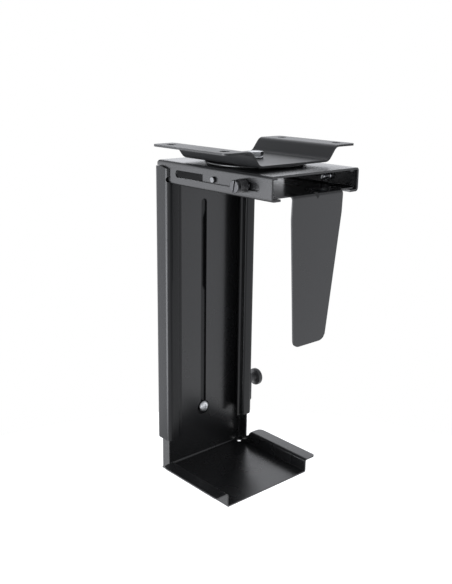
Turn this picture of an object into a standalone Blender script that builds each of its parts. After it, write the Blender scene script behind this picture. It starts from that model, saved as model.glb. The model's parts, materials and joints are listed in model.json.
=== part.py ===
"""Under-desk cpu holder: swivel mount, top channel with a clamping arm, telescopic upright with a tray.

Frame: +X points from the upright towards the clamp arm, +Y runs along the held case and +Z is up.
The origin is the swivel axis in the plane of the desk underside. Lengths are written in millimetres.
"""

import math

import bmesh
import bpy
from mathutils import Matrix, Vector

MM = 0.001
GAP = 0.3
BEND_STEPS = 5

# Sheet thicknesses.
HEAVY = 2.0
LIGHT = 1.5

# Desk bracket.
BRACKET_HALF_LENGTH = 52.8
BRACKET_HALF_WIDTH = 84.8
BRACKET_WALL_TOP = 55.6
BRACKET_PAN_HALF = 45.1
BRACKET_DEPTH = 15.4
BRACKET_BEND = 7.0
BRACKET_CORNER = 6.0
DESK_HOLE_X = 37.3
DESK_HOLE_Y = 73.0
DESK_HOLE_RADIUS = 4.5

# Swivel stack, top to bottom.
DISC_RADIUS = 49.2
DISC_TOP = -15.7
DISC_THICKNESS = 1.7
GLIDE_RADIUS = 46.0
GLIDE_INNER = 30.0
GLIDE_BOTTOM = -18.2
BOLT_RADIUS = 4.0
BOLT_HOLE = 4.4
BOLT_HEAD_HEIGHT = 4.0
HEX_RADIUS = 7.5
WASHER_THICKNESS = 1.6
WASHER_RADIUS = 7.4

# Top channel.
CHANNEL_TOP = -18.5
CHANNEL_BOTTOM = -40.9
CHANNEL_REAR = -80.8
CHANNEL_FRONT = 80.4
CHANNEL_HALF = 57.2
CHANNEL_BEND = 1.2
CHANNEL_END_RADIUS = 3.0
CHANNEL_LIP = 11.3
SLOT_REAR = -51.9
SLOT_FRONT = 65.5
SLOT_Z = -29.7
SLOT_HALF = 3.65

# Clamp slide and arm.
SLIDE_REAR = -13.5
SLIDE_FRONT = 78.0
SLIDE_HALF = CHANNEL_HALF - HEAVY - GAP
SLIDE_TOP = CHANNEL_TOP - HEAVY - GAP
SLIDE_BOTTOM = CHANNEL_BOTTOM + HEAVY + GAP
SLIDE_LIP = 7.0
ARM_FACE = 82.0
ARM_TIP_FACE = 77.2
ARM_BOTTOM = -181.5
ARM_HALF_TOP = 33.2
ARM_HALF_BOTTOM = 21.3
ARM_MIDDLE = 1.2
ARM_SHOULDER = -58.0
ARM_CORNER = 8.0
GUSSET_HALF = 2.4
GUSSET_REACH = 8.0
FRONT_STUD_X = 46.4
NEAR_PIN_X = 2.4
STUD_RADIUS = 2.5
KNOB_RADIUS = 6.4
KNOB_LENGTH = 7.2
KNOB_HEAD_RADIUS = 5.9
DRIVER_SLOT_TURN = math.radians(12)

# Uprights.
OUTER_REAR = -81.8
OUTER_FRONT = -59.8
OUTER_HALF = 60.3
OUTER_TOP = -23.4
OUTER_BOTTOM = -316.4
OUTER_LIP_END = 45.5
OUTER_STEP = 3.8
OUTER_FOOT_END = 40.6
OUTER_BEND = 3.5
OUTER_REAR_BEND = 2.5
RELIEF_Z = -36.6
RELIEF_RADIUS = 2.6
INNER_REAR = -77.9
INNER_FRONT = -64.8
INNER_HALF = 57.2
INNER_TOP = -45.0
GUIDE_Z = -297.0
INNER_SLOT_TOP = -62.5
INNER_SLOT_HALF = 3.7
PAD_HALF = 9.0
PAD_WALL = 1.5
UPPER_PAD = (-54.0, -84.0)
UPPER_PAD_RAMPS = (3.0, 9.0)
LOWER_PAD = (-157.5, -311.0)
LOWER_PAD_RAMPS = (5.5, 3.0)
KEYHOLE_Z = -298.5
KEYHOLE_RADIUS = 8.0

# Tray.
TRAY_FLOOR = -355.3
TRAY_TOP = -340.0
TRAY_FRONT = 29.9
TRAY_REAR = -77.5
TRAY_FLOOR_REAR = -74.1
TRAY_FLANGE_REAR = -57.5
TRAY_FLANGE_HALF = 71.9
TRAY_REAR_CORNER = 6.0
TRAY_FRONT_CORNER = 3.5
TRAY_TOP_BEND = 1.8
TRAY_FLOOR_BEND = 0.6
FLOOR_INSET = 3.2
MITRE_LOW = (-75.8, -353.4)
MITRE_NOTCH = (-60.5, -345.1)
MITRE_TOP = (-57.5, -339.6)
MITRE_OVERLAP = 0.3
CORNER_HOLE = (-71.4, 51.4)
CORNER_HOLE_RADIUS = 2.7

# Clamping knobs.
HEIGHT_KNOB_X = -71.0
HEIGHT_KNOB_Z = -279.0


def clear_scene():
    for old in list(bpy.data.objects):
        bpy.data.objects.remove(old, do_unlink=True)


def new_collection(name, hidden=False):
    collection = bpy.data.collections.new(name)
    bpy.context.scene.collection.children.link(collection)
    collection.hide_render = hidden
    return collection


clear_scene()
PARTS = new_collection("cpu_holder")
CUTTERS = new_collection("cutters", hidden=True)


def material(name, colour, metallic, roughness):
    made = bpy.data.materials.new(name)
    made.use_nodes = True
    shader = made.node_tree.nodes["Principled BSDF"]
    shader.inputs["Base Color"].default_value = (*colour, 1.0)
    shader.inputs["Metallic"].default_value = metallic
    shader.inputs["Roughness"].default_value = roughness
    made.diffuse_color = (*colour, 1.0)
    return made


FINISHES = {
    "powder": ((0.022, 0.022, 0.024), 0.0, 0.42),
    "zinc": ((0.62, 0.62, 0.64), 1.0, 0.28),
    "plastic": ((0.016, 0.016, 0.017), 0.0, 0.5),
    "nylon": ((0.03, 0.03, 0.03), 0.0, 0.55),
    "black_steel": ((0.03, 0.03, 0.032), 1.0, 0.4),
}


def mesh_object(name, bm, finish=None):
    bmesh.ops.remove_doubles(bm, verts=bm.verts, dist=1e-7)
    bmesh.ops.recalc_face_normals(bm, faces=bm.faces)
    mesh = bpy.data.meshes.new(name)
    bm.to_mesh(mesh)
    bm.free()
    made = bpy.data.objects.new(name, mesh)
    if finish is None:
        CUTTERS.objects.link(made)
        made.hide_render = True
        made.display_type = "WIRE"
        return made
    PARTS.objects.link(made)
    mesh.materials.append(material(name + "_finish", *FINISHES[finish]))
    return made


def place(axis, along, first, second):
    """A point from its height along an extrusion axis and its two coordinates across it.

    The micron rounding puts faces that should share a plane in exactly the same plane.
    """
    along, first, second = (round(value, 3) for value in (along, first, second))
    if axis == "X":
        return Vector((along, first, second)) * MM
    if axis == "Y":
        return Vector((first, along, second)) * MM
    return Vector((first, second, along)) * MM


def prism(name, outline, axis, low, high, finish=None):
    """A flat outline extruded along an axis."""
    bm = bmesh.new()
    base = bm.faces.new([bm.verts.new(place(axis, low, a, b)) for a, b in outline])
    grown = bmesh.ops.extrude_face_region(bm, geom=[base])["geom"]
    top = [element for element in grown if isinstance(element, bmesh.types.BMVert)]
    bmesh.ops.translate(bm, verts=top, vec=place(axis, high, 0, 0) - place(axis, low, 0, 0))
    return mesh_object(name, bm, finish)


def box(name, lows, highs, finish=None):
    outline = [
        (lows[0], lows[1]),
        (highs[0], lows[1]),
        (highs[0], highs[1]),
        (lows[0], highs[1]),
    ]
    return prism(name, outline, "Z", lows[2], highs[2], finish)


def circle(centre, radius, segments=32, start=0.0):
    return [
        (
            centre[0] + radius * math.cos(start + math.tau * i / segments),
            centre[1] + radius * math.sin(start + math.tau * i / segments),
        )
        for i in range(segments)
    ]


def rounded(points, radii, steps=6):
    """A closed outline with each corner turned into an arc of its own radius."""
    outline = []
    count = len(points)
    for i, (point, radius) in enumerate(zip(points, radii)):
        corner = Vector(point)
        before = (Vector(points[i - 1]) - corner).normalized()
        after = (Vector(points[(i + 1) % count]) - corner).normalized()
        if radius <= 0:
            outline.append((corner.x, corner.y))
            continue
        outline += arc_between(corner, before, after, radius, steps)
    return outline


def arc_between(corner, before, after, radius, steps):
    half = before.angle(after) / 2
    reach = radius / math.tan(half)
    centre = corner + (before + after).normalized() * (radius / math.sin(half))
    start = corner + before * reach - centre
    end = corner + after * reach - centre
    sweep = start.angle_signed(end)
    turned = []
    for step in range(steps + 1):
        angle = -sweep * step / steps
        spun = Vector(
            (
                start.x * math.cos(angle) - start.y * math.sin(angle),
                start.x * math.sin(angle) + start.y * math.cos(angle),
            )
        )
        turned.append((centre.x + spun.x, centre.y + spun.y))
    return turned


def strip(points, thickness, inner_radii):
    """The outline of a bent sheet whose middle line runs through the points."""
    path = [Vector(point) for point in points]
    if not isinstance(inner_radii, list):
        inner_radii = [inner_radii] * (len(path) - 2)
    left, right = [], []
    last = len(path) - 1
    for i, point in enumerate(path):
        if i in (0, last):
            run = (path[1] - path[0] if i == 0 else path[last] - path[last - 1]).normalized()
            side = Vector((-run.y, run.x)) * (thickness / 2)
            left.append((point.x + side.x, point.y + side.y))
            right.append((point.x - side.x, point.y - side.y))
            continue
        before = (path[i - 1] - point).normalized()
        after = (path[i + 1] - point).normalized()
        half = before.angle(after) / 2
        turn_left = (-before).x * after.y - (-before).y * after.x > 0
        bisector = (before + after).normalized()
        inner_corner = point + bisector * (thickness / 2 / math.sin(half))
        outer_corner = point - bisector * (thickness / 2 / math.sin(half))
        radius = inner_radii[i - 1]
        inner = arc_between(inner_corner, before, after, radius, BEND_STEPS)
        outer = arc_between(outer_corner, before, after, radius + thickness, BEND_STEPS)
        left += inner if turn_left else outer
        right += outer if turn_left else inner
    return left + right[::-1]


def combine(target, other, operation):
    modifier = target.modifiers.new(operation.lower() + "_" + other.name, "BOOLEAN")
    modifier.operation = operation
    modifier.solver = "EXACT"
    modifier.object = other
    return target


def cut(target, *cutters):
    for cutter in cutters:
        combine(target, cutter, "DIFFERENCE")
    return target


def turned(name, profile, axis, centre, finish=None, segments=32):
    """A solid of revolution. The profile lists (radius, height along the axis)."""
    bm = bmesh.new()
    verts = [
        bm.verts.new(place(axis, along, centre[0] + radius, centre[1])) for radius, along in profile
    ]
    ring = profile[0][0] > 0
    ends = list(zip(verts, verts[1:]))
    if ring:
        ends.append((verts[-1], verts[0]))
    edges = [bm.edges.new(pair) for pair in ends]
    bmesh.ops.spin(
        bm,
        geom=verts + edges,
        cent=place(axis, 0, *centre),
        axis=place(axis, 1, 0, 0).normalized(),
        angle=math.tau,
        steps=segments,
        use_merge=True,
    )
    return mesh_object(name, bm, finish)


def slot_outline(first, second, half, steps=8):
    """A round-ended slot from the first end to the second, both on one line of the sketch."""
    corners = [
        (first[0], first[1] - half),
        (second[0], second[1] - half),
        (second[0], second[1] + half),
        (first[0], first[1] + half),
    ]
    return rounded(corners, [half * 0.999] * 4, steps)


def slot_outline_vertical(y, top, bottom, half, steps=8):
    corners = [(y - half, bottom), (y + half, bottom), (y + half, top), (y - half, top)]
    return rounded(corners, [half * 0.999] * 4, steps)


def hull(name, points):
    """The convex solid around a few points."""
    bm = bmesh.new()
    verts = [bm.verts.new(Vector(point) * MM) for point in points]
    bmesh.ops.convex_hull(bm, input=verts)
    return mesh_object(name, bm)


def rod(name, start, end, radius, segments=24):
    """A round cutter between two points."""
    start, end = Vector(start) * MM, Vector(end) * MM
    turn = (end - start).to_track_quat("Z", "Y").to_matrix().to_4x4()
    bm = bmesh.new()
    bmesh.ops.create_cone(
        bm,
        cap_ends=True,
        segments=segments,
        radius1=radius * MM,
        radius2=radius * MM,
        depth=(end - start).length,
        matrix=Matrix.Translation((start + end) / 2) @ turn,
    )
    return mesh_object(name, bm)


# ---------------------------------------------------------------- desk bracket

def build_bracket():
    centre_z = -HEAVY / 2
    pan_z = -BRACKET_DEPTH + HEAVY / 2
    section = strip(
        [
            (-BRACKET_HALF_WIDTH, centre_z),
            (-BRACKET_WALL_TOP, centre_z),
            (-BRACKET_PAN_HALF, pan_z),
            (BRACKET_PAN_HALF, pan_z),
            (BRACKET_WALL_TOP, centre_z),
            (BRACKET_HALF_WIDTH, centre_z),
        ],
        HEAVY,
        BRACKET_BEND,
    )
    plate = prism(
        "mounting_plate", section, "X", -BRACKET_HALF_LENGTH, BRACKET_HALF_LENGTH, "powder"
    )
    length, width = BRACKET_HALF_LENGTH, BRACKET_HALF_WIDTH
    corners = [(-length, -width), (length, -width), (length, width), (-length, width)]
    blank = prism(
        "bracket_blank", rounded(corners, [BRACKET_CORNER] * 4), "Z", -30.0, 10.0
    )
    combine(plate, blank, "INTERSECT")
    for side_x in (-1, 1):
        for side_y in (-1, 1):
            centre = (side_x * DESK_HOLE_X, side_y * DESK_HOLE_Y)
            hole = prism(
                f"desk_hole_{side_x}_{side_y}",
                circle(centre, DESK_HOLE_RADIUS, 28),
                "Z",
                -10.0,
                5.0,
            )
            cut(plate, hole)
    cut(plate, prism("bracket_bolt_hole", circle((0, 0), BOLT_HOLE, 28), "Z", -20.0, 0.0))
    return plate


def hex_prism(name, low, high, turn):
    """A hexagon with its corners chamfered at both ends."""
    made = prism(name, circle((0, 0), HEX_RADIUS, 6, turn), "Z", low, high, "zinc")
    chamfer = [
        (0, low - 1.0),
        (HEX_RADIUS - 1.6, low - 1.0),
        (HEX_RADIUS + 0.3, low + 0.6),
        (HEX_RADIUS + 0.3, high - 0.6),
        (HEX_RADIUS - 1.6, high + 1.0),
        (0, high + 1.0),
    ]
    return combine(made, turned(name + "_chamfer", chamfer, "Z", (0.0, 0.0), None, 36), "INTERSECT")


def pivot_washer(name, low):
    high = low + WASHER_THICKNESS
    profile = [
        (BOLT_RADIUS + GAP, low),
        (WASHER_RADIUS - 0.4, low),
        (WASHER_RADIUS, low + 0.3),
        (WASHER_RADIUS, high - 0.4),
        (WASHER_RADIUS - 0.4, high),
        (BOLT_RADIUS + GAP, high),
    ]
    turned(name, profile, "Z", (0.0, 0.0), "zinc", 32)
    return high


def build_swivel():
    plate_bottom = DISC_TOP - DISC_THICKNESS
    profile = [
        (BOLT_HOLE, DISC_TOP),
        (DISC_RADIUS - 0.5, DISC_TOP),
        (DISC_RADIUS, DISC_TOP - 0.5),
        (DISC_RADIUS, plate_bottom + 0.5),
        (DISC_RADIUS - 0.15, plate_bottom + 0.15),
        (DISC_RADIUS - 0.5, plate_bottom),
        (BOLT_HOLE, plate_bottom),
    ]
    turned("swivel_disc", profile, "Z", (0.0, 0.0), "powder", 64)
    glide = [
        (GLIDE_INNER, GLIDE_BOTTOM),
        (GLIDE_RADIUS, GLIDE_BOTTOM),
        (GLIDE_RADIUS, plate_bottom - GAP),
        (GLIDE_INNER, plate_bottom - GAP),
    ]
    turned("swivel_glide_ring", glide, "Z", (0.0, 0.0), "nylon", 64)
    pan_top = -BRACKET_DEPTH + HEAVY
    head_low = pivot_washer("pivot_head_washer", pan_top + GAP) + GAP
    head_high = head_low + BOLT_HEAD_HEIGHT
    nut_washer_low = CHANNEL_TOP - HEAVY - GAP - WASHER_THICKNESS
    pivot_washer("pivot_nut_washer", nut_washer_low)
    nut_high = nut_washer_low - GAP
    nut_low = nut_high - 7.0
    bolt = hex_prism("pivot_bolt", head_low, head_high, -0.1)
    shank = [
        (0, nut_low - 2.0),
        (BOLT_RADIUS - 0.8, nut_low - 2.0),
        (BOLT_RADIUS, nut_low - 1.2),
        (BOLT_RADIUS, head_low + 1.0),
        (0, head_low + 1.0),
    ]
    combine(bolt, turned("pivot_shank", shank, "Z", (0.0, 0.0), None, 28), "UNION")
    nut = hex_prism("pivot_locknut", nut_low, nut_high, 0.2)
    bore = circle((0, 0), BOLT_RADIUS + GAP, 28)
    cut(nut, prism("nut_bore", bore, "Z", nut_low - 2.0, nut_high + 2.0))


# ---------------------------------------------------------------- top channel

def build_channel():
    half = CHANNEL_HALF - HEAVY / 2
    top = CHANNEL_TOP - HEAVY / 2
    bottom = CHANNEL_BOTTOM + HEAVY / 2
    lip = CHANNEL_HALF - CHANNEL_LIP
    section = strip(
        [(-lip, bottom), (-half, bottom), (-half, top), (half, top), (half, bottom), (lip, bottom)],
        HEAVY,
        CHANNEL_BEND,
    )
    channel = prism("top_channel", section, "X", CHANNEL_REAR, CHANNEL_FRONT, "powder")
    trim_front = OUTER_REAR + HEAVY + OUTER_REAR_BEND + GAP
    rear_trim = prism(
        "channel_rear_trim",
        [
            (CHANNEL_REAR - 5.0, CHANNEL_BOTTOM - 5.0),
            (trim_front, CHANNEL_BOTTOM - 5.0),
            (trim_front, OUTER_TOP - 0.3),
            (CHANNEL_REAR - 5.0, OUTER_TOP - 1.15),
        ],
        "Y",
        -70.0,
        70.0,
    )
    side_view = rounded(
        [
            (CHANNEL_REAR, CHANNEL_BOTTOM - 2.0),
            (CHANNEL_FRONT, CHANNEL_BOTTOM - 2.0),
            (CHANNEL_FRONT, CHANNEL_TOP + 0.01),
            (CHANNEL_REAR, CHANNEL_TOP + 0.01),
        ],
        [0, 0, 0, CHANNEL_END_RADIUS],
    )
    combine(channel, prism("channel_side_view", side_view, "Y", -70.0, 70.0), "INTERSECT")
    slot_shape = slot_outline((SLOT_REAR, SLOT_Z), (SLOT_FRONT, SLOT_Z), SLOT_HALF)
    wall = CHANNEL_HALF - HEAVY
    near_slot = prism("near_slot_cutter", slot_shape, "Y", -CHANNEL_HALF - 3, -wall + 3)
    far_slot = prism("far_slot_cutter", slot_shape, "Y", wall - 3, CHANNEL_HALF + 3)
    bolt_hole = prism(
        "channel_bolt_hole", circle((0, 0), BOLT_HOLE, 28), "Z", CHANNEL_TOP - 6, CHANNEL_TOP + 3
    )
    cut(channel, rear_trim, near_slot, far_slot, bolt_hole)


# ---------------------------------------------------------------- clamp slide and arm

def build_slide():
    half = SLIDE_HALF - LIGHT / 2
    top = SLIDE_TOP - LIGHT / 2
    bottom = SLIDE_BOTTOM + LIGHT / 2
    lip = SLIDE_HALF - SLIDE_LIP
    section = strip(
        [(-lip, top), (-half, top), (-half, bottom), (half, bottom), (half, top), (lip, top)],
        LIGHT,
        1.4,
    )
    slide = prism("clamp_slide_arm", section, "X", SLIDE_REAR, SLIDE_FRONT, "powder")
    arm_line = strip(
        [
            (SLIDE_FRONT - 20.0, bottom),
            (ARM_FACE - LIGHT / 2, bottom),
            (ARM_TIP_FACE - LIGHT / 2, ARM_BOTTOM - 6.0),
        ],
        LIGHT,
        2.4,
    )
    arm = prism("arm_strip", arm_line, "Y", -60.0, 60.0)
    outline = rounded(
        [
            (ARM_MIDDLE - ARM_HALF_TOP, SLIDE_TOP),
            (ARM_MIDDLE - ARM_HALF_TOP, ARM_SHOULDER),
            (ARM_MIDDLE - ARM_HALF_BOTTOM, ARM_BOTTOM),
            (ARM_MIDDLE + ARM_HALF_BOTTOM, ARM_BOTTOM),
            (ARM_MIDDLE + ARM_HALF_TOP, ARM_SHOULDER),
            (ARM_MIDDLE + ARM_HALF_TOP, SLIDE_TOP),
        ],
        [0, 30.0, ARM_CORNER, ARM_CORNER, 30.0, 0],
    )
    blank = prism("arm_blank", outline, "X", SLIDE_FRONT - 30.0, ARM_FACE + 20.0)
    combine(arm, blank, "INTERSECT")
    combine(slide, arm, "UNION")
    combine(slide, gusset_web(), "UNION")
    cut(slide, gusset_groove())
    for label, x, radius, side in (
        ("stud", FRONT_STUD_X, 4.0, -1),
        ("near_pin", NEAR_PIN_X, 2.3, -1),
        ("far_stud", FRONT_STUD_X, 4.0, 1),
    ):
        wall = sorted((side * (SLIDE_HALF + 2), side * (SLIDE_HALF - LIGHT - 2)))
        hole = prism(f"slide_hole_{label}", circle((x, SLOT_Z), radius, 24), "Y", *wall)
        cut(slide, hole)


def gusset_web():
    """The inner side of the small stiffening dent across the arm's bend."""
    x, z = ARM_FACE - LIGHT / 2, SLIDE_BOTTOM + LIGHT / 2
    points = []
    for y in (-GUSSET_HALF, GUSSET_HALF):
        points += [(x, y, z), (x - GUSSET_REACH, y, z), (x - 0.3, y, z - GUSSET_REACH)]
    return hull("gusset_web", points)


def gusset_groove():
    """The dent itself: a V whose floor runs slantwise across the bend."""
    x, z = ARM_FACE, SLIDE_BOTTOM + LIGHT
    reach = GUSSET_REACH - 2.2
    wide = GUSSET_HALF + 1.2
    points = [(x - reach, 0.0, z + 0.1), (x + 0.1, 0.0, z - reach)]
    for y in (-wide, wide):
        points += [(x - reach / 3, y, z + 1.0), (x + 1.0, y, z + 1.0), (x + 1.0, y, z - reach / 3)]
    return hull("gusset_groove", points)


def build_rivet_nut(name, side):
    wall_out = SLIDE_HALF
    wall_in = SLIDE_HALF - LIGHT
    bore = STUD_RADIUS + GAP
    profile = [
        (bore, wall_out - 0.1),
        (3.8, wall_out - 0.1),
        (3.8, wall_in - GAP),
        (4.2, wall_in - GAP),
        (4.2, wall_in - 0.9),
        (3.6, wall_in - 1.4),
        (3.6, wall_in - 3.4),
        (bore, wall_in - 3.4),
    ]
    profile = [(radius, side * along) for radius, along in profile]
    turned(name, profile, "Y", (FRONT_STUD_X, SLOT_Z), "zinc", 24)


def build_guide_screw_in_slot():
    """The far-side screw: its head stays outside the channel and its shank runs in the slot."""
    centre = (FRONT_STUD_X, SLOT_Z)
    head_in = CHANNEL_HALF + GAP
    profile = [
        (0, head_in + 2.4),
        (3.4, head_in + 2.2),
        (4.4, head_in + 1.4),
        (4.7, head_in + 0.4),
        (4.7, head_in),
        (STUD_RADIUS, head_in),
        (STUD_RADIUS, SLIDE_HALF - 9.6),
        (STUD_RADIUS - 0.6, SLIDE_HALF - 10.2),
        (0, SLIDE_HALF - 10.2),
    ]
    screw = turned("slide_far_screw", profile, "Y", centre, "zinc", 28)
    drive = prism("far_screw_socket", circle(centre, 1.7, 6), "Y", head_in + 1.0, head_in + 4.0)
    cut(screw, drive)


def build_guide_pin():
    """A tubular rivet through the slide's wall, whose shoulder runs in the channel's slot."""
    wall_out = SLIDE_HALF
    wall_in = SLIDE_HALF - LIGHT
    profile = [
        (0, CHANNEL_HALF + 0.4),
        (2.4, CHANNEL_HALF + 0.4),
        (2.9, CHANNEL_HALF - 0.1),
        (2.9, wall_out + GAP),
        (2.0, wall_out + GAP),
        (2.0, wall_in - GAP),
        (3.4, wall_in - GAP),
        (3.4, wall_in - 0.8),
        (2.6, wall_in - 1.7),
        (1.5, wall_in - 1.7),
        (1.3, wall_in - 0.6),
        (0, wall_in - 0.6),
    ]
    profile = [(radius, -along) for radius, along in profile]
    turned("slide_guide_pin", profile, "Y", (NEAR_PIN_X, SLOT_Z), "zinc", 24)


# ---------------------------------------------------------------- clamping knobs

def lobed(name, centre, radius, depth, lobes, low, high, finish):
    outline = []
    steps = lobes * 8
    for i in range(steps):
        angle = math.tau * i / steps
        reach = radius - depth * (0.5 - 0.5 * math.cos(lobes * angle))
        outline.append((centre[0] + reach * math.cos(angle), centre[1] + reach * math.sin(angle)))
    return prism(name, outline, "Y", low, high, finish)


def build_width_knob():
    centre = (FRONT_STUD_X, SLOT_Z)
    wall = -CHANNEL_HALF
    washer_in = wall - GAP
    washer_out = washer_in - 1.2
    washer_profile = [
        (STUD_RADIUS + GAP, washer_out),
        (5.8, washer_out),
        (6.2, washer_out + 0.3),
        (6.2, washer_in),
        (STUD_RADIUS + GAP, washer_in),
    ]
    turned("width_knob_washer", washer_profile, "Y", centre, "black_steel", 32)
    grip_in = washer_out - GAP
    grip_out = grip_in - KNOB_LENGTH
    grip = lobed(
        "width_knob_grip", centre, KNOB_RADIUS, 0.7, 8, grip_out, grip_in, "plastic"
    )
    waist = [
        (KNOB_RADIUS - 0.9, grip_out - 1.0),
        (KNOB_RADIUS - 0.9, grip_out + 0.4),
        (KNOB_RADIUS - 0.3, grip_out + 1.0),
        (KNOB_RADIUS - 0.3, grip_out + 1.8),
        (KNOB_RADIUS - 0.8, grip_out + 2.4),
        (KNOB_RADIUS + 1.6, grip_out + 3.8),
        (KNOB_RADIUS + 1.6, grip_in - 1.6),
        (KNOB_RADIUS - 0.6, grip_in + 0.6),
        (KNOB_RADIUS + 2.5, grip_in + 0.6),
        (KNOB_RADIUS + 2.5, grip_out - 1.0),
    ]
    bore = [
        (0, grip_out - 1.0),
        (STUD_RADIUS + GAP, grip_out - 1.0),
        (STUD_RADIUS + GAP, grip_in + 1.0),
        (0, grip_in + 1.0),
    ]
    cut(grip, turned("knob_waist", waist, "Y", centre, None, 32))
    cut(grip, turned("knob_bore", bore, "Y", centre, None, 24))
    head_in = grip_out - GAP
    head_out = head_in - 3.4
    stud_end = -SLIDE_HALF + LIGHT + 5.0
    profile = [
        (0, head_out),
        (KNOB_HEAD_RADIUS - 0.6, head_out),
        (KNOB_HEAD_RADIUS, head_out + 0.6),
        (KNOB_HEAD_RADIUS, head_in - 0.5),
        (KNOB_HEAD_RADIUS - 0.5, head_in),
        (STUD_RADIUS, head_in),
        (STUD_RADIUS, stud_end - 0.6),
        (STUD_RADIUS - 0.6, stud_end),
        (0, stud_end),
    ]
    screw = turned("width_knob_screw", profile, "Y", centre, "black_steel", 32)
    driver = prism(
        "width_driver_slot",
        slanted_slot(centre, DRIVER_SLOT_TURN, 0.65, 8.0),
        "Y",
        head_out - 1,
        head_out + 1.5,
    )
    cut(screw, driver)


def slanted_slot(centre, turn, half_width, half_length):
    run = Vector((math.sin(turn), math.cos(turn)))
    side = Vector((run.y, -run.x))
    middle = Vector(centre)
    corners = []
    for along, across in ((-1, -1), (-1, 1), (1, 1), (1, -1)):
        point = middle + run * (along * half_length) + side * (across * half_width)
        corners.append((point.x, point.y))
    return corners


def build_height_knob():
    centre = (HEIGHT_KNOB_X, HEIGHT_KNOB_Z)
    plate_in = OUTER_HALF + GAP
    plate_out = plate_in + 1.6
    x, z = centre
    outline = rounded(
        [(x - 7.6, z - 24.0), (x + 7.6, z - 24.0), (x + 7.6, z + 9.0), (x - 7.6, z + 9.0)],
        [2.5] * 4,
        4,
    )
    plate = prism("height_nut_plate", outline, "Y", plate_in, plate_out, "black_steel")
    stem_in = plate_out + GAP
    head_in = 71.8
    head_out = 79.0
    grip = turned(
        "height_knob_grip",
        [
            (3.3, stem_in),
            (4.9, stem_in),
            (4.9, head_in - 1.0),
            (6.4, head_in),
            (9.2, head_in + 0.8),
            (9.8, head_in + 2.0),
            (9.8, head_out - 2.2),
            (8.8, head_out - 0.8),
            (5.8, head_out),
            (3.3, head_out),
        ],
        "Y",
        centre,
        "plastic",
        40,
    )
    socket = prism("knob_socket", circle(centre, 4.6, 32), "Y", head_out - 3.0, head_out + 2.0)
    cut(grip, socket)
    tip = INNER_HALF + GAP
    turned(
        "height_knob_stud",
        [
            (0, tip),
            (2.2, tip),
            (3.0, tip + 0.8),
            (3.0, head_out - 3.0 + GAP),
            (4.2, head_out - 3.0 + GAP),
            (4.2, head_out - 0.5),
            (3.6, head_out + 0.1),
            (0, head_out + 0.1),
        ],
        "Y",
        centre,
        "black_steel",
        32,
    )
    cut(plate, prism("nut_plate_bore", circle(centre, 3.3, 28), "Y", plate_in - 2, plate_out + 2))


# ---------------------------------------------------------------- uprights and tray

def press_pad(upright, label, ends, ramps):
    """A long pad pressed forward out of the web, for the inner web to slide on."""
    top, bottom = ends
    top_ramp, bottom_ramp = ramps
    crest = INNER_REAR - GAP
    front = OUTER_REAR + HEAVY
    raised = [
        (front - 0.5, top),
        (front, top),
        (crest, top - top_ramp),
        (crest, bottom + bottom_ramp),
        (front, bottom),
        (front - 0.5, bottom),
    ]
    hollow_crest = crest - HEAVY
    hollow = [
        (OUTER_REAR - 1.0, top - PAD_WALL),
        (OUTER_REAR, top - PAD_WALL),
        (hollow_crest, top - top_ramp - PAD_WALL),
        (hollow_crest, bottom + bottom_ramp + PAD_WALL),
        (OUTER_REAR, bottom + PAD_WALL),
        (OUTER_REAR - 1.0, bottom + PAD_WALL),
    ]
    pad = prism(f"web_pad_{label}", raised, "Y", -PAD_HALF, PAD_HALF)
    combine(upright, pad, "UNION")
    inside = PAD_HALF - PAD_WALL
    cut(upright, prism(f"web_hollow_{label}", hollow, "Y", -inside, inside))


def build_outer_upright():
    rear = OUTER_REAR + HEAVY / 2
    front = OUTER_FRONT - HEAVY / 2
    foot = front - OUTER_STEP
    half = OUTER_HALF - HEAVY / 2
    step = OUTER_LIP_END + HEAVY / 2
    side_line = [(foot, OUTER_FOOT_END), (foot, step), (front, step), (front, half), (rear, half)]
    path = [(x, -y) for x, y in side_line] + side_line[::-1]
    radii = [0.2, 0.2, OUTER_BEND, OUTER_REAR_BEND]
    radii += radii[::-1]
    section = strip(path, HEAVY, radii)
    upright = prism("outer_upright", section, "Z", OUTER_BOTTOM, OUTER_TOP, "powder")
    clear = CHANNEL_HALF + GAP
    lip_trim = box(
        "lip_trim",
        (foot - HEAVY, -clear, CHANNEL_BOTTOM - GAP),
        (OUTER_FRONT + 3.0, clear, OUTER_TOP + 5.0),
    )
    corner = prism(
        "flange_corner_cut",
        [
            (OUTER_REAR - 5.0, OUTER_TOP - 1.6),
            (OUTER_REAR - 5.0, OUTER_TOP + 5.0),
            (OUTER_FRONT + 5.0, OUTER_TOP + 5.0),
            (OUTER_FRONT + 5.0, OUTER_TOP - 2.6),
            (OUTER_FRONT - 3.2, OUTER_TOP - 2.5),
            (OUTER_FRONT - 12.6, OUTER_TOP - 0.2),
        ],
        "Y",
        -70.0,
        70.0,
    )
    cut(upright, lip_trim, corner)
    for side in (-1, 1):
        middle = Vector((OUTER_FRONT - 1.6, side * (OUTER_HALF - 1.6), RELIEF_Z))
        out = Vector((6.0, side * 6.0, 0.0))
        cut(upright, rod(f"bend_relief_{side}", middle - out, middle + out, RELIEF_RADIUS))
    for label, ends, ramps in (
        ("upper", UPPER_PAD, UPPER_PAD_RAMPS),
        ("lower", LOWER_PAD, LOWER_PAD_RAMPS),
    ):
        press_pad(upright, label, ends, ramps)
    screw_hole = prism(
        "guide_hole", circle((0.0, GUIDE_Z), 3.3, 28), "X", OUTER_REAR - 3, OUTER_REAR + 6
    )
    stud_hole = prism(
        "height_stud_hole",
        circle((HEIGHT_KNOB_X, HEIGHT_KNOB_Z), 3.3, 28),
        "Y",
        OUTER_HALF - 5,
        OUTER_HALF + 5,
    )
    cut(upright, screw_hole, stud_hole)


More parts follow.
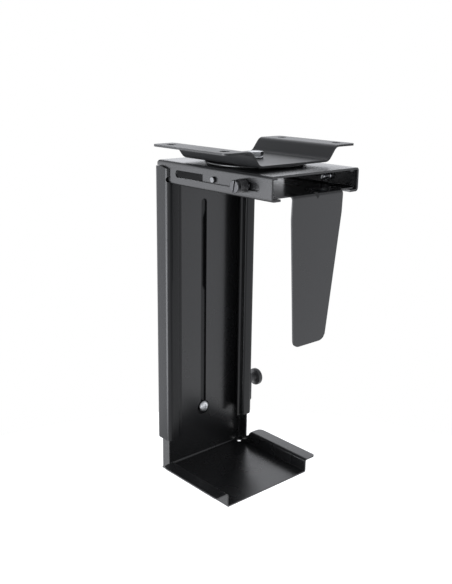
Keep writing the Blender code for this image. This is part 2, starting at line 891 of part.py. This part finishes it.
def build_inner_upright():
    web = INNER_REAR + LIGHT / 2
    floor = TRAY_FLOOR + LIGHT / 2
    half = INNER_HALF - LIGHT / 2
    section = strip(
        [(INNER_FRONT, -half), (web, -half), (web, half), (INNER_FRONT, half)], LIGHT, 1.2
    )
    upright = prism("inner_upright_tray", section, "Z", TRAY_FLOOR, INNER_TOP, "powder")
    (low_x, low_z), (notch_x, notch_z), (top_x, top_z) = MITRE_LOW, MITRE_NOTCH, MITRE_TOP
    flange_trim = prism(
        "flange_mitre",
        [
            (low_x - 6.0, TRAY_FLOOR - 5.0),
            (low_x - 6.0, low_z - 1.0),
            (low_x, low_z),
            (notch_x, notch_z),
            (notch_x + 5.0, notch_z),
            (notch_x + 5.0, TRAY_FLOOR - 5.0),
        ],
        "Y",
        -90.0,
        90.0,
    )
    cut(upright, flange_trim)
    bend = prism(
        "web_to_floor",
        strip([(web, -300.0), (web, floor), (-40.0, floor)], LIGHT, 2.2),
        "Y",
        -INNER_HALF + FLOOR_INSET,
        INNER_HALF - FLOOR_INSET,
    )
    shelf = TRAY_TOP - LIGHT / 2
    hat = strip(
        [
            (-TRAY_FLANGE_HALF, shelf),
            (-half, shelf),
            (-half, floor),
            (half, floor),
            (half, shelf),
            (TRAY_FLANGE_HALF, shelf),
        ],
        LIGHT,
        [TRAY_TOP_BEND, TRAY_FLOOR_BEND, TRAY_FLOOR_BEND, TRAY_TOP_BEND],
    )
    tray = prism("tray_section", hat, "X", TRAY_REAR, TRAY_FRONT)
    wall_trim = prism(
        "wall_mitre",
        [
            (low_x - 6.0, low_z + MITRE_OVERLAP),
            (low_x, low_z + MITRE_OVERLAP),
            (notch_x, notch_z + MITRE_OVERLAP),
            (top_x, top_z),
            (top_x, TRAY_TOP + 5.0),
            (low_x - 6.0, TRAY_TOP + 5.0),
        ],
        "Y",
        -90.0,
        90.0,
    )
    width = TRAY_FLANGE_HALF
    blank = prism(
        "tray_blank",
        rounded(
            [
                (TRAY_REAR - 10, -INNER_HALF - 1.0),
                (TRAY_FLANGE_REAR, -INNER_HALF - 1.0),
                (TRAY_FLANGE_REAR, -width),
                (TRAY_FRONT, -width),
                (TRAY_FRONT, width),
                (TRAY_FLANGE_REAR, width),
                (TRAY_FLANGE_REAR, INNER_HALF + 1.0),
                (TRAY_REAR - 10, INNER_HALF + 1.0),
            ],
            [
                0,
                0,
                TRAY_REAR_CORNER,
                TRAY_FRONT_CORNER,
                TRAY_FRONT_CORNER,
                TRAY_REAR_CORNER,
                0,
                0,
            ],
        ),
        "Z",
        TRAY_FLOOR - 5,
        TRAY_TOP + 5,
    )
    floor_trim = box(
        "tray_floor_trim",
        (TRAY_REAR - 2.0, -INNER_HALF + FLOOR_INSET, TRAY_FLOOR - 2.0),
        (TRAY_FLOOR_REAR, INNER_HALF - FLOOR_INSET, TRAY_TOP),
    )
    cut(tray, wall_trim, floor_trim)
    combine(tray, blank, "INTERSECT")
    combine(upright, bend, "UNION")
    combine(upright, tray, "UNION")
    slot = prism(
        "height_slot_cutter",
        slot_outline_vertical(0.0, INNER_SLOT_TOP, GUIDE_Z - 3.0, INNER_SLOT_HALF),
        "X",
        INNER_REAR - 0.2,
        INNER_REAR + 6,
    )
    keyhole = prism(
        "keyhole_cutter", circle((0.0, KEYHOLE_Z), KEYHOLE_RADIUS, 32), "X", INNER_REAR - 0.2, INNER_REAR + 6
    )
    cut(upright, slot, keyhole)
    for side in (-1, 1):
        centre = (CORNER_HOLE[0], side * CORNER_HOLE[1])
        relief = prism(
            f"corner_relief_{side}",
            circle(centre, CORNER_HOLE_RADIUS, 24),
            "Z",
            TRAY_FLOOR - 4,
            TRAY_FLOOR + 3,
        )
        cut(upright, relief)


def build_guide_screw():
    centre = (0.0, GUIDE_Z)
    head_in = INNER_REAR + LIGHT + GAP
    nut_in = INNER_REAR - GAP - HEAVY - GAP
    nut_out = nut_in - 4.0
    profile = [
        (0, nut_out - 1.2),
        (2.2, nut_out - 1.2),
        (3.0, nut_out - 0.4),
        (3.0, head_in),
        (5.8, head_in),
        (6.0, head_in + 0.5),
        (5.7, head_in + 1.6),
        (4.6, head_in + 2.6),
        (2.6, head_in + 3.1),
        (0, head_in + 3.2),
    ]
    screw = turned("guide_screw", profile, "X", centre, "zinc", 32)
    arms = [
        (-0.55, -2.9), (0.55, -2.9), (0.55, -0.55), (2.9, -0.55), (2.9, 0.55), (0.55, 0.55),
        (0.55, 2.9), (-0.55, 2.9), (-0.55, 0.55), (-2.9, 0.55), (-2.9, -0.55), (-0.55, -0.55),
    ]
    cross = prism(
        "cross_recess", [(y, z + GUIDE_Z) for y, z in arms], "X", head_in + 1.2, head_in + 5
    )
    cut(screw, cross)
    nut = prism("guide_nut", circle(centre, 5.75, 6), "X", nut_out, nut_in, "zinc")
    cut(nut, prism("guide_nut_bore", circle(centre, 3.3, 28), "X", nut_out - 2, nut_in + 2))


build_bracket()
build_swivel()
build_channel()
build_slide()
build_rivet_nut("slide_near_rivet_nut", -1)
build_rivet_nut("slide_far_rivet_nut", 1)
build_guide_screw_in_slot()
build_guide_pin()
build_width_knob()
build_height_knob()
build_outer_upright()
build_inner_upright()
build_guide_screw()
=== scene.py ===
"""Looks for the under-desk cpu holder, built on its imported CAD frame. Lengths are in metres."""

import json
import math

import bmesh
import bpy
from mathutils import Matrix, Vector


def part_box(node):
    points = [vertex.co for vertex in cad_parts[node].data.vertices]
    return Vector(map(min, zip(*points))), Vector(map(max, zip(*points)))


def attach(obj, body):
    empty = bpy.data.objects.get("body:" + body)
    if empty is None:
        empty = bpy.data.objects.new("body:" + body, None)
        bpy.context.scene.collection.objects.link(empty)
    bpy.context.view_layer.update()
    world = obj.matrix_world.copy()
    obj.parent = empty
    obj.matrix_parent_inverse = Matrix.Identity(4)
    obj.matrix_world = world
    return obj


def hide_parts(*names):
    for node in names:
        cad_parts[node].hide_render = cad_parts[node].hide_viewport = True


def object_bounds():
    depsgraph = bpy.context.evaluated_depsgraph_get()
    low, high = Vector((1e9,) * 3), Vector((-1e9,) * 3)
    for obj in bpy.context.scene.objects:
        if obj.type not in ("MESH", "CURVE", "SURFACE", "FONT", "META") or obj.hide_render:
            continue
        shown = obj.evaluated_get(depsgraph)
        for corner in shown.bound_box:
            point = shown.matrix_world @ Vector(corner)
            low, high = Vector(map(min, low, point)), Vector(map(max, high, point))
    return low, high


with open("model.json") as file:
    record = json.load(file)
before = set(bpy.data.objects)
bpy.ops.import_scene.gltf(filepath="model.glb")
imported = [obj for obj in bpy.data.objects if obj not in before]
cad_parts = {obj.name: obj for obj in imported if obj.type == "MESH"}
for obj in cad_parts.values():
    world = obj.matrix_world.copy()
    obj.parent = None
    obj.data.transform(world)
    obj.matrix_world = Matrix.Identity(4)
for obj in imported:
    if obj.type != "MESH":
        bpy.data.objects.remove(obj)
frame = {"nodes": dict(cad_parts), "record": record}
CAD_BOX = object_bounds()
NODES = frame["nodes"]
BODY_OF = {
    node: body
    for body, members in frame["record"]["behaviour"]["bodies"].items()
    for node in members
}
SLOT_OF = {part["node"]: part["material_slot"] for part in frame["record"]["subparts"]}

# ---------------------------------------------------------------- camera
CAMERA_AT = Vector((0.5628, -0.5374, 0.0718))
CAMERA_FORWARD = Vector((-0.71855, 0.64023, -0.27164))
CAMERA_ROLL = math.radians(0.74)
LENS_MM = 49.54
SENSOR_MM = 36.0
NEAREST_SEEN = 0.01
FARTHEST_SEEN = 20.0


def add_camera():
    """The camera, aimed along its forward direction and rolled about it."""
    data = bpy.data.cameras.new("camera")
    data.lens = LENS_MM
    data.sensor_width = SENSOR_MM
    data.clip_start = NEAREST_SEEN
    data.clip_end = FARTHEST_SEEN
    camera = bpy.data.objects.new("camera", data)
    bpy.context.scene.collection.objects.link(camera)
    turn = CAMERA_FORWARD.to_track_quat("-Z", "Y").to_matrix()
    roll = Matrix.Rotation(CAMERA_ROLL, 3, "Z")
    camera.matrix_world = Matrix.Translation(CAMERA_AT) @ (turn @ roll).to_4x4()
    bpy.context.scene.camera = camera


# ---------------------------------------------------------------- materials
# A noise's values lie mostly between these two.
NOISE_LOW = 0.3
NOISE_HIGH = 0.7

# Noises: cells to the metre, and detail.
POWDER_GRAIN = (1500.0, 3.0)
POWDER_CLOUD = (30.0, 4.0)
PLATE_MARKS = (900.0, 5.0)
PLASTIC_GRAIN = (2200.0, 2.0)

# How far a finish's roughness goes below and above its own.
POWDER_SWING = (-0.015, 0.025)
PLATE_SWING = (-0.07, 0.10)
PLASTIC_SWING = (-0.05, 0.08)

# A finish's darkest and lightest tones, as parts of its own colour.
POWDER_TONES = (0.85, 1.2)
PLATE_TONES = (0.8, 1.0)
PLASTIC_TONES = (0.8, 1.3)
# The thread's tones are painted shade: the grooves darken to a quarter of the colour.
THREAD_GROOVE_SHADE_TONES = (0.25, 1.0)

# Bumps: strength, and the height it stands for.
POWDER_BUMP = (0.11, 0.00005)
PLATE_BUMP = (0.12, 0.00004)
PLASTIC_BUMP = (0.2, 0.00004)
THREAD_BUMP = (0.9, 0.0002)

THREAD_ROUGHNESS = 0.3
# A wave texture of scale one has this many ridges in each pi metres.
WAVE_RIDGES = 10.0


def new_material(name):
    """A node material, with its nodes, its links and its shader."""
    made = bpy.data.materials.new(name)
    made.use_nodes = True
    nodes = made.node_tree.nodes
    return made, nodes, made.node_tree.links, nodes["Principled BSDF"]


def noise(nodes, links, scale, detail):
    """A noise texture in the object's own metres."""
    coords = nodes.new("ShaderNodeTexCoord")
    texture = nodes.new("ShaderNodeTexNoise")
    texture.inputs["Scale"].default_value = scale
    texture.inputs["Detail"].default_value = detail
    links.new(coords.outputs["Object"], texture.inputs["Vector"])
    return texture.outputs["Fac"]


def spread(nodes, links, value, middle, swing, socket):
    """Feeds a socket with a number that swings with a noise."""
    ranged = nodes.new("ShaderNodeMapRange")
    ranged.inputs["From Min"].default_value = NOISE_LOW
    ranged.inputs["From Max"].default_value = NOISE_HIGH
    ranged.inputs["To Min"].default_value = middle + swing[0]
    ranged.inputs["To Max"].default_value = middle + swing[1]
    links.new(value, ranged.inputs["Value"])
    links.new(ranged.outputs["Result"], socket)


def tint(nodes, links, value, colour, tones, socket):
    """Feeds a colour socket with two tones of a colour, mixed by a value."""
    ramp = nodes.new("ShaderNodeValToRGB")
    for stop, position, tone in zip(ramp.color_ramp.elements, (NOISE_LOW, NOISE_HIGH), tones):
        stop.position = position
        stop.color = (*(channel * tone for channel in colour), 1.0)
    links.new(value, ramp.inputs["Fac"])
    links.new(ramp.outputs["Color"], socket)


def roughen(nodes, links, height, shader, strength, distance):
    """Bumps a shader's surface by a value."""
    bump = nodes.new("ShaderNodeBump")
    bump.inputs["Strength"].default_value = strength
    bump.inputs["Distance"].default_value = distance
    links.new(height, bump.inputs["Height"])
    links.new(bump.outputs["Normal"], shader.inputs["Normal"])


def powder_coat(name, colour, rough, gloss):
    """Fine orange-peel grain with slow changes of gloss, as baked powder has."""
    made, nodes, links, shader = new_material(name)
    grain = noise(nodes, links, *POWDER_GRAIN)
    cloud = noise(nodes, links, *POWDER_CLOUD)
    spread(nodes, links, cloud, rough, POWDER_SWING, shader.inputs["Roughness"])
    tint(nodes, links, grain, colour, POWDER_TONES, shader.inputs["Base Color"])
    roughen(nodes, links, grain, shader, *POWDER_BUMP)
    shader.inputs["Specular IOR Level"].default_value = gloss
    return made


def plated(name, colour, rough):
    """Plated steel: a slightly clouded mirror with fine tool marks."""
    made, nodes, links, shader = new_material(name)
    marks = noise(nodes, links, *PLATE_MARKS)
    spread(nodes, links, marks, rough, PLATE_SWING, shader.inputs["Roughness"])
    tint(nodes, links, marks, colour, PLATE_TONES, shader.inputs["Base Color"])
    roughen(nodes, links, marks, shader, *PLATE_BUMP)
    shader.inputs["Metallic"].default_value = 1.0
    return made


def threaded(name, colour, axis, pitch):
    """Plated steel with thread ridges across an axis, for the shanks of screws. Its colour darkens in the
    thread grooves: painted shade.
    """
    made, nodes, links, shader = new_material(name)
    coords = nodes.new("ShaderNodeTexCoord")
    ridges = nodes.new("ShaderNodeTexWave")
    ridges.bands_direction = axis
    ridges.inputs["Scale"].default_value = math.pi / (WAVE_RIDGES * pitch)
    links.new(coords.outputs["Object"], ridges.inputs["Vector"])
    depth = ridges.outputs["Fac"]
    # Painted shade: the colour follows the thread depth, darkest in the grooves.
    tint(nodes, links, depth, colour, THREAD_GROOVE_SHADE_TONES, shader.inputs["Base Color"])
    roughen(nodes, links, depth, shader, *THREAD_BUMP)
    shader.inputs["Roughness"].default_value = THREAD_ROUGHNESS
    shader.inputs["Metallic"].default_value = 1.0
    return made


def moulded(name, colour, rough):
    """Moulded plastic with a fine spark-eroded texture."""
    made, nodes, links, shader = new_material(name)
    grain = noise(nodes, links, *PLASTIC_GRAIN)
    spread(nodes, links, grain, rough, PLASTIC_SWING, shader.inputs["Roughness"])
    tint(nodes, links, grain, colour, PLASTIC_TONES, shader.inputs["Base Color"])
    roughen(nodes, links, grain, shader, *PLASTIC_BUMP)
    return made


ZINC_COLOUR = (0.82, 0.83, 0.85)
BLACKENED_COLOUR = (0.07, 0.07, 0.073)
POWDER = powder_coat("satin_black_powder_coat", (0.010, 0.0103, 0.0109), 0.26, 0.60)
BRACKET_POWDER = powder_coat("satin_black_bracket_coat", (0.012, 0.0124, 0.0130), 0.40, 0.40)
# The uprights' coat is a darker, less glossy copy of the same powder: painted shade for the darker look
# the uprights take from the light.
UPRIGHT_POWDER_WITH_PAINTED_SHADE = powder_coat("satin_black_upright_coat_painted_shade", (0.008, 0.0083, 0.0088), 0.23, 0.26)
MATERIALS = {
    "bracket_powder": BRACKET_POWDER,
    "disc_powder": POWDER,
    "channel_powder": POWDER,
    "upright_powder": UPRIGHT_POWDER_WITH_PAINTED_SHADE,
    "arm_powder": POWDER,
    "tray_powder": POWDER,
    "zinc": plated("bright_zinc_plate", ZINC_COLOUR, 0.27),
    "black_steel": plated("blackened_steel", BLACKENED_COLOUR, 0.38),
    "knob_plastic": moulded("black_moulded_plastic", (0.034, 0.034, 0.035), 0.34),
    "glide_nylon": moulded("black_nylon", (0.02, 0.02, 0.02), 0.5),
}

# Pieces whose plating differs from the rest of their slot. The pivot bolt's grey and the guide pin's
# near-black are painted shade: zinc darkened to tone down the light they catch.
FINISH_OF = {
    "guide_screw": plated("white_zinc_plate", (0.95, 0.96, 0.97), 0.42),
    # Painted shade: the bolt's zinc greyed well below its own colour.
    "pivot_bolt": plated("zinc_plate_greyed_as_shade", (0.40, 0.41, 0.42), 0.24),
    # Painted shade: the pin's zinc darkened nearly to black.
    "slide_guide_pin": plated("zinc_plate_darkened_as_shade", (0.15, 0.153, 0.156), 0.42),
}


# ---------------------------------------------------------------- pieces
EDGE_WIDTH = 0.00035
EDGE_SEGMENTS = 2
EDGE_ANGLE = math.radians(35)
WELD_DISTANCE = 1e-6
FLAT_ANGLE = math.radians(0.6)
FACE_WEIGHT = 100
# A shank's side faces have no more of their normal along the axis than this.
SIDE_LIMIT = 0.3

# Screws with a threaded shank: the axis, the radius that only the shank is within, the pitch, the colour.
SHANKS = {
    "slide_far_screw": ("Y", 0.0026, 0.0008, ZINC_COLOUR),
    "width_knob_screw": ("Y", 0.0026, 0.0008, BLACKENED_COLOUR),
    "height_knob_stud": ("Y", 0.0031, 0.001, BLACKENED_COLOUR),
    "pivot_bolt": ("Z", 0.0041, 0.00125, ZINC_COLOUR),
}


def add_thread(mesh, node):
    """Gives the faces of a screw's shank a second, threaded material."""
    axis, radius, pitch, colour = SHANKS[node]
    low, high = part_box(node)
    middle = (Vector(low) + Vector(high)) / 2
    mesh.materials.append(threaded(node + "_thread", colour, axis, pitch))
    along = "XYZ".index(axis)
    for face in mesh.polygons:
        reach = face.center - middle
        reach[along] = 0.0
        if reach.length < radius and abs(face.normal[along]) < SIDE_LIMIT:
            face.material_index = 1


def add_piece(node):
    """A softened-edge piece in a CAD node's own shape, standing for that node."""
    bm = bmesh.new()
    bm.from_mesh(NODES[node].data)
    bmesh.ops.remove_doubles(bm, verts=bm.verts, dist=WELD_DISTANCE)
    bmesh.ops.dissolve_limit(bm, angle_limit=FLAT_ANGLE, verts=bm.verts, edges=bm.edges)
    for face in bm.faces:
        face.smooth = True
    mesh = bpy.data.meshes.new(node + "_piece")
    bm.to_mesh(mesh)
    bm.free()
    mesh.materials.append(FINISH_OF.get(node, MATERIALS[SLOT_OF[node]]))
    if node in SHANKS:
        add_thread(mesh, node)
    piece = bpy.data.objects.new(node + "_piece", mesh)
    bpy.context.scene.collection.objects.link(piece)
    bevel = piece.modifiers.new("edge", "BEVEL")
    bevel.width = EDGE_WIDTH
    bevel.segments = EDGE_SEGMENTS
    bevel.limit_method = "ANGLE"
    bevel.angle_limit = EDGE_ANGLE
    shading = piece.modifiers.new("shading", "WEIGHTED_NORMAL")
    shading.mode = "FACE_AREA"
    shading.weight = FACE_WEIGHT
    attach(piece, BODY_OF[node])
    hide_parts(node)


for name in sorted(NODES):
    add_piece(name)


# ---------------------------------------------------------------- stage and light
FLOOR_DROP = 0.30
FLOOR_RADIUS = 0.85
FLOOR_SIDES = 96
FLOOR_COLOUR = (0.93, 0.93, 0.93, 1.0)
FLOOR_ROUGHNESS = 0.9
FLOOR_GLOW = 0.6
WHITE = (1.0, 1.0, 1.0, 1.0)


def add_stage():
    """A pale round floor well below the holder, which hangs from a desk."""
    made, _, _, shader = new_material("studio_white")
    shader.inputs["Base Color"].default_value = FLOOR_COLOUR
    shader.inputs["Roughness"].default_value = FLOOR_ROUGHNESS
    shader.inputs["Specular IOR Level"].default_value = 0.0
    shader.inputs["Emission Color"].default_value = WHITE
    shader.inputs["Emission Strength"].default_value = FLOOR_GLOW
    bm = bmesh.new()
    bmesh.ops.create_circle(bm, cap_ends=True, segments=FLOOR_SIDES, radius=FLOOR_RADIUS)
    mesh = bpy.data.meshes.new("floor")
    bm.to_mesh(mesh)
    bm.free()
    mesh.materials.append(made)
    floor = bpy.data.objects.new("floor", mesh)
    floor.location = (0.0, 0.0, CAD_BOX[0][2] - FLOOR_DROP)
    bpy.context.scene.collection.objects.link(floor)


# The studio around the holder: a direction, where its soft edge starts and ends, and what it adds.
PANELS = (
    ((-0.80, -0.60, -0.15), 0.66, 0.97, 1.62),
    ((-0.25, -0.97, -0.15), 0.89, 0.985, 11.0),
    ((0.66, -0.74, -0.20), 0.80, 0.97, 0.8),
    ((-0.70, 0.66, 0.22), 0.80, 0.99, 1.15),
    ((0.72, 0.66, -0.20), 0.70, 0.97, 0.62),
    ((0.0, 0.0, 1.0), 0.50, 1.0, 0.3),
)
STUDIO_BASE = 0.45
STUDIO_COLOUR = (0.97, 0.985, 1.03, 1.0)


def facing(nodes, links, direction, toward, start, end, amount):
    """A soft-edged value that grows from nothing as a direction comes round to a fixed one."""
    dot = nodes.new("ShaderNodeVectorMath")
    dot.operation = "DOT_PRODUCT"
    dot.inputs[1].default_value = Vector(toward).normalized()
    links.new(direction, dot.inputs[0])
    ranged = nodes.new("ShaderNodeMapRange")
    ranged.interpolation_type = "SMOOTHSTEP"
    ranged.inputs["From Min"].default_value = start
    ranged.inputs["From Max"].default_value = end
    ranged.inputs["To Min"].default_value = 0.0
    ranged.inputs["To Max"].default_value = amount
    links.new(dot.outputs["Value"], ranged.inputs["Value"])
    return ranged.outputs["Result"]


def added(nodes, links, first, second):
    """The sum of two values, each a number or a socket."""
    node = nodes.new("ShaderNodeMath")
    node.operation = "ADD"
    for socket, value in zip(node.inputs, (first, second)):
        if isinstance(value, float):
            socket.default_value = value
        else:
            links.new(value, socket)
    return node.outputs["Value"]


def add_light():
    """A pale studio with soft panels round and above the holder. The camera sees plain white behind it."""
    world = bpy.data.worlds.new("studio")
    world.use_nodes = True
    nodes, links = world.node_tree.nodes, world.node_tree.links
    direction = nodes.new("ShaderNodeTexCoord").outputs["Generated"]
    level = STUDIO_BASE
    for panel in PANELS:
        level = added(nodes, links, level, facing(nodes, links, direction, *panel))
    background = nodes["Background"]
    background.inputs["Color"].default_value = STUDIO_COLOUR
    links.new(level, background.inputs["Strength"])
    backdrop = nodes.new("ShaderNodeBackground")
    backdrop.inputs["Color"].default_value = WHITE
    mix = nodes.new("ShaderNodeMixShader")
    seen = nodes.new("ShaderNodeLightPath").outputs["Is Camera Ray"]
    links.new(seen, mix.inputs["Fac"])
    links.new(background.outputs["Background"], mix.inputs[1])
    links.new(backdrop.outputs["Background"], mix.inputs[2])
    links.new(mix.outputs["Shader"], nodes["World Output"].inputs["Surface"])
    bpy.context.scene.world = world
    bpy.context.scene.view_settings.view_transform = "Standard"


add_camera()
add_stage()
add_light()
